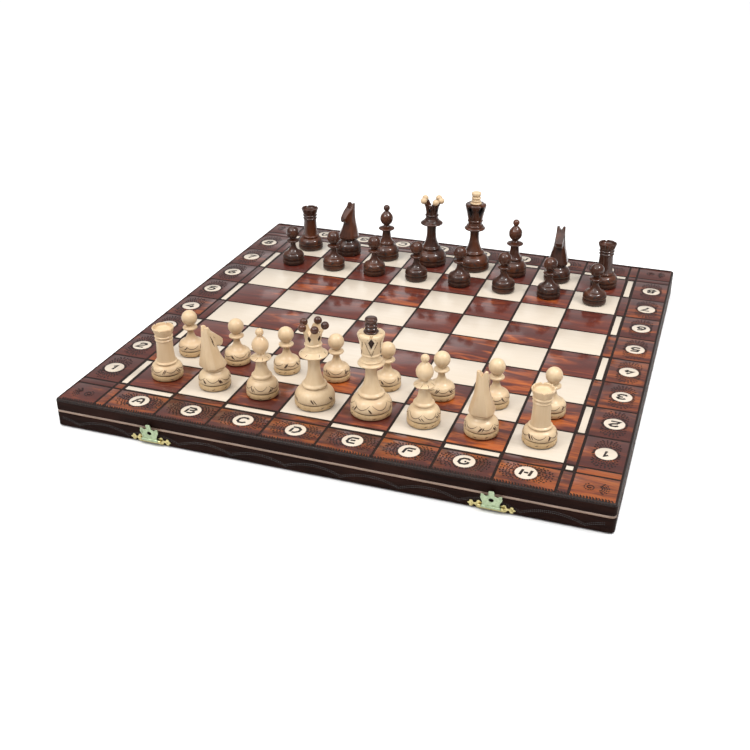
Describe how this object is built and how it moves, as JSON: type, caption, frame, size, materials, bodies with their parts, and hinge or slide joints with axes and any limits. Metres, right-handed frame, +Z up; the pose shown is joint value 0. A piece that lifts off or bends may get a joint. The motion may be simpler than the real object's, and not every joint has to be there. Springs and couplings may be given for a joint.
{
  "type": "chess set with folding board",
  "caption": "Folding wooden chess board of two hinged storage boxes with front hasps, set with turned pale and dark chessmen on their starting squares.",
  "frame": {"origin": "centre of the bounding box's bottom face: under the middle of the open board, at the underside of the hinge barrels", "axes": "+X from the a-file to the h-file, +Y from White's side to Black's side, +Z up; the front face is at -Y"},
  "size_m": [0.486, 0.4868, 0.116],
  "materials": {
    "playing_panel": "glossy red-brown lacquer with cream squares",
    "stained_rail": "dark stain, satin, with a pale milled stripe",
    "pale_men": "satin natural hornbeam",
    "dark_men": "glossy dark stain",
    "brass": "stamped, slightly dull",
    "hinge_pin_steel": "plain wire"
  },
  "bodies": {
    "front_half": {"front_rail": "stained_rail", "front_half_left_rail": "stained_rail", "front_half_right_rail": "stained_rail", "front_half_spine_rail": "stained_rail", "front_half_panel": "playing_panel", "left_hinge_front_leaf": "brass", "left_hinge_pin": "hinge_pin_steel", "left_clasp_plate": "brass", "right_hinge_front_leaf": "brass", "right_hinge_pin": "hinge_pin_steel", "right_clasp_plate": "brass"},
    "rear_half": {"rear_rail": "stained_rail", "rear_half_left_rail": "stained_rail", "rear_half_right_rail": "stained_rail", "rear_half_spine_rail": "stained_rail", "rear_half_panel": "playing_panel", "left_hinge_rear_leaf": "brass", "left_catch": "brass", "right_hinge_rear_leaf": "brass", "right_catch": "brass"},
    "left_hasp_body": {"left_hasp": "brass"},
    "right_hasp_body": {"right_hasp": "brass"},
    "white_rook_a1_body": {"white_rook_a1": "pale_men"},
    "white_pawn_a2_body": {"white_pawn_a2": "pale_men"},
    "black_pawn_a7_body": {"black_pawn_a7": "dark_men"},
    "black_rook_a8_body": {"black_rook_a8": "dark_men"},
    "white_knight_b1_body": {"white_knight_b1": "pale_men", "white_knight_b1_head": "pale_men"},
    "white_pawn_b2_body": {"white_pawn_b2": "pale_men"},
    "black_pawn_b7_body": {"black_pawn_b7": "dark_men"},
    "black_knight_b8_body": {"black_knight_b8": "dark_men", "black_knight_b8_head": "dark_men"},
    "white_bishop_c1_body": {"white_bishop_c1": "pale_men"},
    "white_pawn_c2_body": {"white_pawn_c2": "pale_men"},
    "black_pawn_c7_body": {"black_pawn_c7": "dark_men"},
    "black_bishop_c8_body": {"black_bishop_c8": "dark_men"},
    "white_queen_body": {"white_queen": "pale_men"},
    "white_pawn_d2_body": {"white_pawn_d2": "pale_men"},
    "black_pawn_d7_body": {"black_pawn_d7": "dark_men"},
    "black_queen_body": {"black_queen": "dark_men"},
    "white_king_body": {"white_king": "pale_men", "white_king_finial": "dark_men"},
    "white_pawn_e2_body": {"white_pawn_e2": "pale_men"},
    "black_pawn_e7_body": {"black_pawn_e7": "dark_men"},
    "black_king_body": {"black_king": "dark_men", "black_king_finial": "pale_men"},
    "white_bishop_f1_body": {"white_bishop_f1": "pale_men"},
    "white_pawn_f2_body": {"white_pawn_f2": "pale_men"},
    "black_pawn_f7_body": {"black_pawn_f7": "dark_men"},
    "black_bishop_f8_body": {"black_bishop_f8": "dark_men"},
    "white_knight_g1_body": {"white_knight_g1": "pale_men", "white_knight_g1_head": "pale_men"},
    "white_pawn_g2_body": {"white_pawn_g2": "pale_men"},
    "black_pawn_g7_body": {"black_pawn_g7": "dark_men"},
    "black_knight_g8_body": {"black_knight_g8": "dark_men", "black_knight_g8_head": "dark_men"},
    "white_rook_h1_body": {"white_rook_h1": "pale_men"},
    "white_pawn_h2_body": {"white_pawn_h2": "pale_men"},
    "black_pawn_h7_body": {"black_pawn_h7": "dark_men"},
    "black_rook_h8_body": {"black_rook_h8": "dark_men"}
  },
  "joints": [
    {"name": "fold", "type": "hinge", "parent": "front_half", "child": "rear_half", "pos_m": [0, 0, 0.001], "axis": [-1, 0, 0], "range_deg": [0, 180]},
    {"name": "left_hasp_swing", "type": "hinge", "parent": "front_half", "child": "left_hasp_body", "pos_m": [-0.149, -0.2422, 0.00515], "axis": [1, 0, 0], "range_deg": [0, 180]},
    {"name": "right_hasp_swing", "type": "hinge", "parent": "front_half", "child": "right_hasp_body", "pos_m": [0.149, -0.2422, 0.00515], "axis": [1, 0, 0], "range_deg": [0, 180]},
    {"name": "white_rook_a1_lift", "type": "slide", "parent": "front_half", "child": "white_rook_a1_body", "axis": [0, 0, 1], "range_m": [0, 0.12]},
    {"name": "white_pawn_a2_lift", "type": "slide", "parent": "front_half", "child": "white_pawn_a2_body", "axis": [0, 0, 1], "range_m": [0, 0.12]},
    {"name": "black_pawn_a7_lift", "type": "slide", "parent": "rear_half", "child": "black_pawn_a7_body", "axis": [0, 0, 1], "range_m": [0, 0.12]},
    {"name": "black_rook_a8_lift", "type": "slide", "parent": "rear_half", "child": "black_rook_a8_body", "axis": [0, 0, 1], "range_m": [0, 0.12]},
    {"name": "white_knight_b1_lift", "type": "slide", "parent": "front_half", "child": "white_knight_b1_body", "axis": [0, 0, 1], "range_m": [0, 0.12]},
    {"name": "white_pawn_b2_lift", "type": "slide", "parent": "front_half", "child": "white_pawn_b2_body", "axis": [0, 0, 1], "range_m": [0, 0.12]},
    {"name": "black_pawn_b7_lift", "type": "slide", "parent": "rear_half", "child": "black_pawn_b7_body", "axis": [0, 0, 1], "range_m": [0, 0.12]},
    {"name": "black_knight_b8_lift", "type": "slide", "parent": "rear_half", "child": "black_knight_b8_body", "axis": [0, 0, 1], "range_m": [0, 0.12]},
    {"name": "white_bishop_c1_lift", "type": "slide", "parent": "front_half", "child": "white_bishop_c1_body", "axis": [0, 0, 1], "range_m": [0, 0.12]},
    {"name": "white_pawn_c2_lift", "type": "slide", "parent": "front_half", "child": "white_pawn_c2_body", "axis": [0, 0, 1], "range_m": [0, 0.12]},
    {"name": "black_pawn_c7_lift", "type": "slide", "parent": "rear_half", "child": "black_pawn_c7_body", "axis": [0, 0, 1], "range_m": [0, 0.12]},
    {"name": "black_bishop_c8_lift", "type": "slide", "parent": "rear_half", "child": "black_bishop_c8_body", "axis": [0, 0, 1], "range_m": [0, 0.12]},
    {"name": "white_queen_lift", "type": "slide", "parent": "front_half", "child": "white_queen_body", "axis": [0, 0, 1], "range_m": [0, 0.12]},
    {"name": "white_pawn_d2_lift", "type": "slide", "parent": "front_half", "child": "white_pawn_d2_body", "axis": [0, 0, 1], "range_m": [0, 0.12]},
    {"name": "black_pawn_d7_lift", "type": "slide", "parent": "rear_half", "child": "black_pawn_d7_body", "axis": [0, 0, 1], "range_m": [0, 0.12]},
    {"name": "black_queen_lift", "type": "slide", "parent": "rear_half", "child": "black_queen_body", "axis": [0, 0, 1], "range_m": [0, 0.12]},
    {"name": "white_king_lift", "type": "slide", "parent": "front_half", "child": "white_king_body", "axis": [0, 0, 1], "range_m": [0, 0.12]},
    {"name": "white_pawn_e2_lift", "type": "slide", "parent": "front_half", "child": "white_pawn_e2_body", "axis": [0, 0, 1], "range_m": [0, 0.12]},
    {"name": "black_pawn_e7_lift", "type": "slide", "parent": "rear_half", "child": "black_pawn_e7_body", "axis": [0, 0, 1], "range_m": [0, 0.12]},
    {"name": "black_king_lift", "type": "slide", "parent": "rear_half", "child": "black_king_body", "axis": [0, 0, 1], "range_m": [0, 0.12]},
    {"name": "white_bishop_f1_lift", "type": "slide", "parent": "front_half", "child": "white_bishop_f1_body", "axis": [0, 0, 1], "range_m": [0, 0.12]},
    {"name": "white_pawn_f2_lift", "type": "slide", "parent": "front_half", "child": "white_pawn_f2_body", "axis": [0, 0, 1], "range_m": [0, 0.12]},
    {"name": "black_pawn_f7_lift", "type": "slide", "parent": "rear_half", "child": "black_pawn_f7_body", "axis": [0, 0, 1], "range_m": [0, 0.12]},
    {"name": "black_bishop_f8_lift", "type": "slide", "parent": "rear_half", "child": "black_bishop_f8_body", "axis": [0, 0, 1], "range_m": [0, 0.12]},
    {"name": "white_knight_g1_lift", "type": "slide", "parent": "front_half", "child": "white_knight_g1_body", "axis": [0, 0, 1], "range_m": [0, 0.12]},
    {"name": "white_pawn_g2_lift", "type": "slide", "parent": "front_half", "child": "white_pawn_g2_body", "axis": [0, 0, 1], "range_m": [0, 0.12]},
    {"name": "black_pawn_g7_lift", "type": "slide", "parent": "rear_half", "child": "black_pawn_g7_body", "axis": [0, 0, 1], "range_m": [0, 0.12]},
    {"name": "black_knight_g8_lift", "type": "slide", "parent": "rear_half", "child": "black_knight_g8_body", "axis": [0, 0, 1], "range_m": [0, 0.12]},
    {"name": "white_rook_h1_lift", "type": "slide", "parent": "front_half", "child": "white_rook_h1_body", "axis": [0, 0, 1], "range_m": [0, 0.12]},
    {"name": "white_pawn_h2_lift", "type": "slide", "parent": "front_half", "child": "white_pawn_h2_body", "axis": [0, 0, 1], "range_m": [0, 0.12]},
    {"name": "black_pawn_h7_lift", "type": "slide", "parent": "rear_half", "child": "black_pawn_h7_body", "axis": [0, 0, 1], "range_m": [0, 0.12]},
    {"name": "black_rook_h8_lift", "type": "slide", "parent": "rear_half", "child": "black_rook_h8_body", "axis": [0, 0, 1], "range_m": [0, 0.12]}
  ]
}
